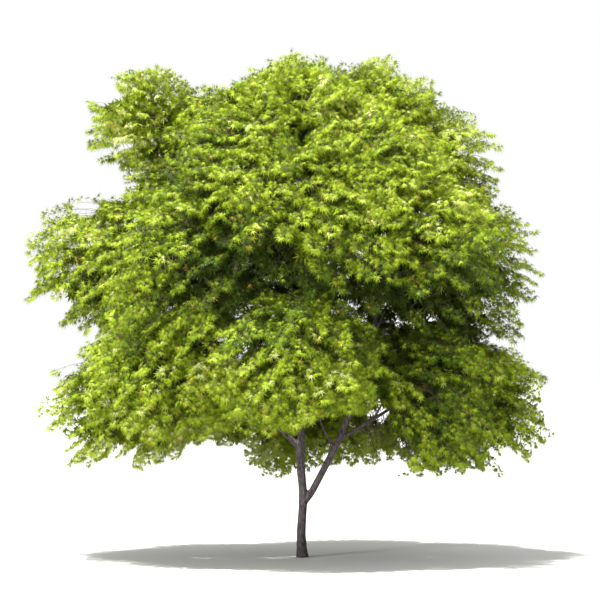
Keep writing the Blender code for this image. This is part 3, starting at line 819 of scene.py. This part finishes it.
def leafed_spray(spray, rng):
    """The shoots of a spray as chains, and its leaves as (place, along, up, swing, light)."""
    span = (spray.tip - spray.root).length
    length = min(SPRAY_LENGTH * rng.uniform(0.8, 1.15), span * 0.75)
    tip, axis, facing = spray.tip, spray.axis, spray.facing
    neck = tip - axis * length
    side = axis.cross(facing)
    sag = UP * SPRAY_SAG * length
    stem = [spray.root, spray.root.lerp(neck, 0.55) + sag * 0.5, neck]
    leader = [neck, neck.lerp(tip, 0.35) + sag * 0.8, neck.lerp(tip, 0.7) + sag * 0.6, tip]
    girth = SPRAY_RADIUS
    if spray.inner:
        chains = [([stem[0], stem[2], tip], [girth, girth * 0.8, girth * 0.3])]
    else:
        chains = [(stem + leader[1:], [girth * share for share in (1, 0.9, 0.8, 0.65, 0.5, 0.3)])]
    leaves = [(tip, axis, facing, 0.0, spray.light)]
    sparser = INNER_SPACING if spray.inner else 1
    count = max(3, round(length / (SHOOT_SPACING * sparser)))
    for index in range(count):
        share = (index + 0.4) / count
        place, along = point_along(leader, share)
        for hand in (-1, 1):
            angle = math.radians(SHOOT_ANGLE + rng.uniform(-14, 14))
            heading = along * math.cos(angle) + side * hand * math.sin(angle)
            heading = (heading + UP * rng.uniform(-0.30, 0.16)).normalized()
            shoot = length * SHOOT_SHARE * (0.25 + (1 - share) ** 0.8) * rng.uniform(0.7, 1.2)
            shoot *= min(1, 0.45 + share * 2.2)
            end = place + heading * shoot - UP * shoot * 0.16
            if any(in_opening(gap, *end) for gap in GAPS):
                continue
            light = spray.light + TIP_LIGHT * (share - 0.5) + rng.gauss(0, SHOOT_VARIATION)
            chains.append(([place, end], [SHOOT_RADIUS, SHOOT_RADIUS * 0.5]))
            pairs = max(1, round(shoot / (LEAF_SPACING * sparser)))
            for step in range(pairs):
                spot = place.lerp(end, (step + 0.75) / (pairs + 0.25))
                pair = light + rng.gauss(0, PAIR_VARIATION)
                for turn in (-1, 1):
                    leaves.append((spot, heading, facing, turn * rng.uniform(38, 66), pair))
            leaves.append((end, heading, facing, rng.uniform(-12, 12), light))
    return chains, leaves


# A leaf is a thin blade cut into five or seven long pointed lobes that fan out from its stalk.
# No two leaves hang quite alike. Their tints are painted light and shade: lit and shaded copies of one green,
# dealt by how much light each shoot is given.
SEVEN_LOBES = ((-122, 0.40), (-80, 0.76), (-40, 0.95), (0, 1.0), (40, 0.95), (80, 0.76), (122, 0.40))
FIVE_LOBES = ((-86, 0.62), (-42, 0.92), (0, 1.0), (42, 0.92), (86, 0.62))
LEAF_FORMS = (
    (SEVEN_LOBES, 0.075, 0.12, 0.04),
    (FIVE_LOBES, 0.085, 0.28, 0.05),
    (FIVE_LOBES, 0.090, 0.16, -0.04),
    (FIVE_LOBES, 0.100, 0.36, 0.05),
)
SHADE_FORM = (FIVE_LOBES, 0.17, 0.20, 0.04, False)
SHADE_GROWTH = 1.6
STALK_LENGTH = 0.42
STALK_WIDTH = 0.022
BLADE_REACH = 0.056
# The two darkest tints are painted shade, the middle three painted half light, sunlit is painted sunlight and
# pale a painted highlight; bronze is a leaf's own tint.
LEAF_TINTS = (
    ("deep_shade", (0.026, 0.044, 0.002)),
    ("shade", (0.050, 0.085, 0.004)),
    ("green", (0.120, 0.180, 0.006)),
    ("fresh", (0.190, 0.262, 0.009)),
    ("lime", (0.250, 0.330, 0.014)),
    ("sunlit", (0.335, 0.400, 0.055)),
    ("pale", (0.470, 0.520, 0.180)),
    ("bronze", (0.240, 0.180, 0.020)),
)
TINT_STEPS = (-1.05, -0.50, -0.10, 0.25, 0.65, 1.15)
BRONZE_SHARE = 0.015
LEAF_ROUGHNESS = 0.6
LEAF_SHEEN = 0.12
BORDER_OVERLAP = 0.05


def leaf_frames(leaves, hang, growth, rng):
    """Where each leaf sits and how it is turned, as rows of numbers for the points that carry it."""
    places, turns, sizes = [], [], []
    for spot, way, facing, swing, _ in leaves:
        up = (facing + Vector(rng.uniform(-1, 1) for _ in range(3)) * LEAF_TILT + UP * 0.12).normalized()
        along = Matrix.Rotation(math.radians(swing), 3, up) @ way
        along = (along - UP * rng.uniform(*hang)).normalized()
        up = (up - along * up.dot(along)).normalized()
        across = along.cross(up)
        places.append(spot)
        turns.append(tuple(Matrix((across, along, up)).transposed().to_quaternion()))
        sizes.append(BLADE_REACH * growth * rng.uniform(0.75, 1.18))
    return places, turns, sizes


def leaf_mesh(lobes, width, droop, lift, stalked=True):
    """One leaf along +Y with its upper face to +Z, a lobe's length to the unit."""
    blade = bmesh.new()

    def at(angle, reach, height):
        turn = math.radians(angle)
        return blade.verts.new((math.sin(turn) * reach, STALK_LENGTH + math.cos(turn) * reach, height))

    for angle, length in lobes:
        tip = at(angle, length, -droop * length)
        base = [at(angle + turn * 90, width, lift) for turn in (-1, 1)]
        blade.faces.new((*base, tip))
    if stalked:
        foot = blade.verts.new((0, 0, 0))
        sides = [blade.verts.new((step, STALK_LENGTH, 0)) for step in (STALK_WIDTH, -STALK_WIDTH)]
        blade.faces.new((foot, *sides))
    mesh = bpy.data.meshes.new("leaf_form")
    blade.to_mesh(mesh)
    blade.free()
    return mesh


def leaf_tree(tints):
    """Leaf forms set on points by each point's turn, size, form and tint."""
    tree, given, out = new_tree("leaves_on_shoots", {"Forms": "NodeSocketCollection"})
    forms = node(tree, "GeometryNodeCollectionInfo")
    forms.inputs["Separate Children"].default_value = True
    forms.inputs["Reset Children"].default_value = True
    turn = node(tree, "GeometryNodeInputNamedAttribute", data_type="QUATERNION", Name="turn")
    size = node(tree, "GeometryNodeInputNamedAttribute", data_type="FLOAT", Name="size")
    form = node(tree, "GeometryNodeInputNamedAttribute", data_type="INT", Name="form")
    tint = node(tree, "GeometryNodeInputNamedAttribute", data_type="INT", Name="tint")
    place = node(tree, "GeometryNodeInstanceOnPoints")
    place.inputs["Pick Instance"].default_value = True
    real = node(tree, "GeometryNodeRealizeInstances")
    link = tree.links.new
    link(given.outputs["Forms"], forms.inputs["Collection"])
    link(given.outputs["Geometry"], place.inputs["Points"])
    link(forms.outputs["Instances"], place.inputs["Instance"])
    link(form.outputs["Attribute"], place.inputs["Instance Index"])
    link(turn.outputs["Attribute"], place.inputs["Rotation"])
    link(size.outputs["Attribute"], place.inputs["Scale"])
    link(place.outputs["Instances"], real.inputs["Geometry"])
    last = real.outputs["Geometry"]
    for index, surface in enumerate(tints):
        chosen = node(tree, "FunctionNodeCompare", data_type="INT", operation="EQUAL")
        chosen.inputs[3].default_value = index
        colour = node(tree, "GeometryNodeSetMaterial", Material=surface)
        link(tint.outputs["Attribute"], chosen.inputs[2])
        link(last, colour.inputs["Geometry"])
        link(chosen.outputs["Result"], colour.inputs["Selection"])
        last = colour.outputs["Geometry"]
    link(last, out.inputs["Geometry"])
    return tree


def keep_inside(name, places, covers):
    """Which leaves keep to their mass's reach, or to the crown's where they cover a crease."""
    space = SPACES[name]
    offsets = np.array(places) - np.array(space.centre)
    parts = sum(
        np.abs(offsets @ np.array(axis) / (size + LEAF_OVERHANG)) ** SQUARENESS
        for axis, size in zip(space.axes, space.sizes)
    )
    kept = parts < 1.0
    for between, distance in borders(space):
        kept &= offsets @ np.array(between) < distance + BORDER_OVERLAP
    places = np.array(places)
    whole = np.sum(((places - np.array(CROWN_CENTRE)) / np.array(CROWN_SIZES)) ** 2, axis=1)
    kept |= np.array(covers) & (whole < 1)
    kept &= ~(in_opening(FRONT_ARCH, *places.T) & (places[:, 1] < 0))
    for gap in GAPS:
        kept &= ~in_opening(gap, *places.T)
    return kept


tints = [
    plain_material("leaf_" + title, colour, LEAF_ROUGHNESS, LEAF_SHEEN) for title, colour in LEAF_TINTS
]
forms = bpy.data.collections.new("leaf_forms")
for number, form in enumerate((*LEAF_FORMS, SHADE_FORM)):
    forms.objects.link(bpy.data.objects.new(f"leaf_form_{number}", leaf_mesh(*form)))
leaves_tree = leaf_tree(tints)
twig_bark = plain_material("young_twig", (0.10, 0.075, 0.045), 0.7)


def deal_tint(light, rng):
    """The tint of a leaf by how much light falls on its shoot, or now and then bronze."""
    if rng.random() < BRONZE_SHARE:
        return len(LEAF_TINTS) - 1
    return sum(light > step for step in TINT_STEPS)


def add_foliage(name):
    """The leaves and the twigs of one mass, each as one joined piece."""
    rng = random.Random(name + " leaves")
    chains, sprays = lay_sprays(name)
    places, turns, sizes, dealt, kinds, covers = [], [], [], [], [], []
    for spray in sprays:
        shoots, leaves = leafed_spray(spray, rng)
        chains.extend(shoots)
        found = leaf_frames(leaves, spray.hang, SHADE_GROWTH if spray.inner else 1, rng)
        places.extend(found[0])
        turns.extend(found[1])
        sizes.extend(found[2])
        dealt.extend(deal_tint(light, rng) for *_, light in leaves)
        kinds.extend(len(LEAF_FORMS) if spray.inner else rng.randrange(len(LEAF_FORMS)) for _ in leaves)
        covers.extend(spray.cover for _ in leaves)
    kept = keep_inside(name, places, covers)
    mesh = bpy.data.meshes.new(name + "_points")
    mesh.from_pydata([place for place, keep in zip(places, kept) if keep], [], [])
    for title, kind, values in (
        ("turn", "QUATERNION", turns),
        ("size", "FLOAT", sizes),
        ("form", "INT", kinds),
        ("tint", "INT", dealt),
    ):
        attribute = mesh.attributes.new(title, kind, "POINT")
        whole = np.array(values, np.int32 if kind == "INT" else np.float32)[kept]
        attribute.data.foreach_set("value", whole.ravel())
    leaves = add_object(name + "_points", mesh)
    give_nodes(leaves, leaves_tree, {"Forms": forms})
    leaves = settle(leaves, name + "_leaves")
    twigs = add_object(name + "_chains", chain_mesh(chains))
    give_nodes(twigs, tubes, {"Sides": 3, "Steps": 1, "Caps": False, "Flat Below": SPRAY_RADIUS * 0.6, "Bark": twig_bark})
    twigs = settle(twigs, name + "_twigs")
    for piece, slot in ((leaves, "leaves"), (twigs, "bark")):
        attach(piece, "root")
        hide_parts(name + "_foliage")


for mass_name in MASSES:
    add_foliage(mass_name)
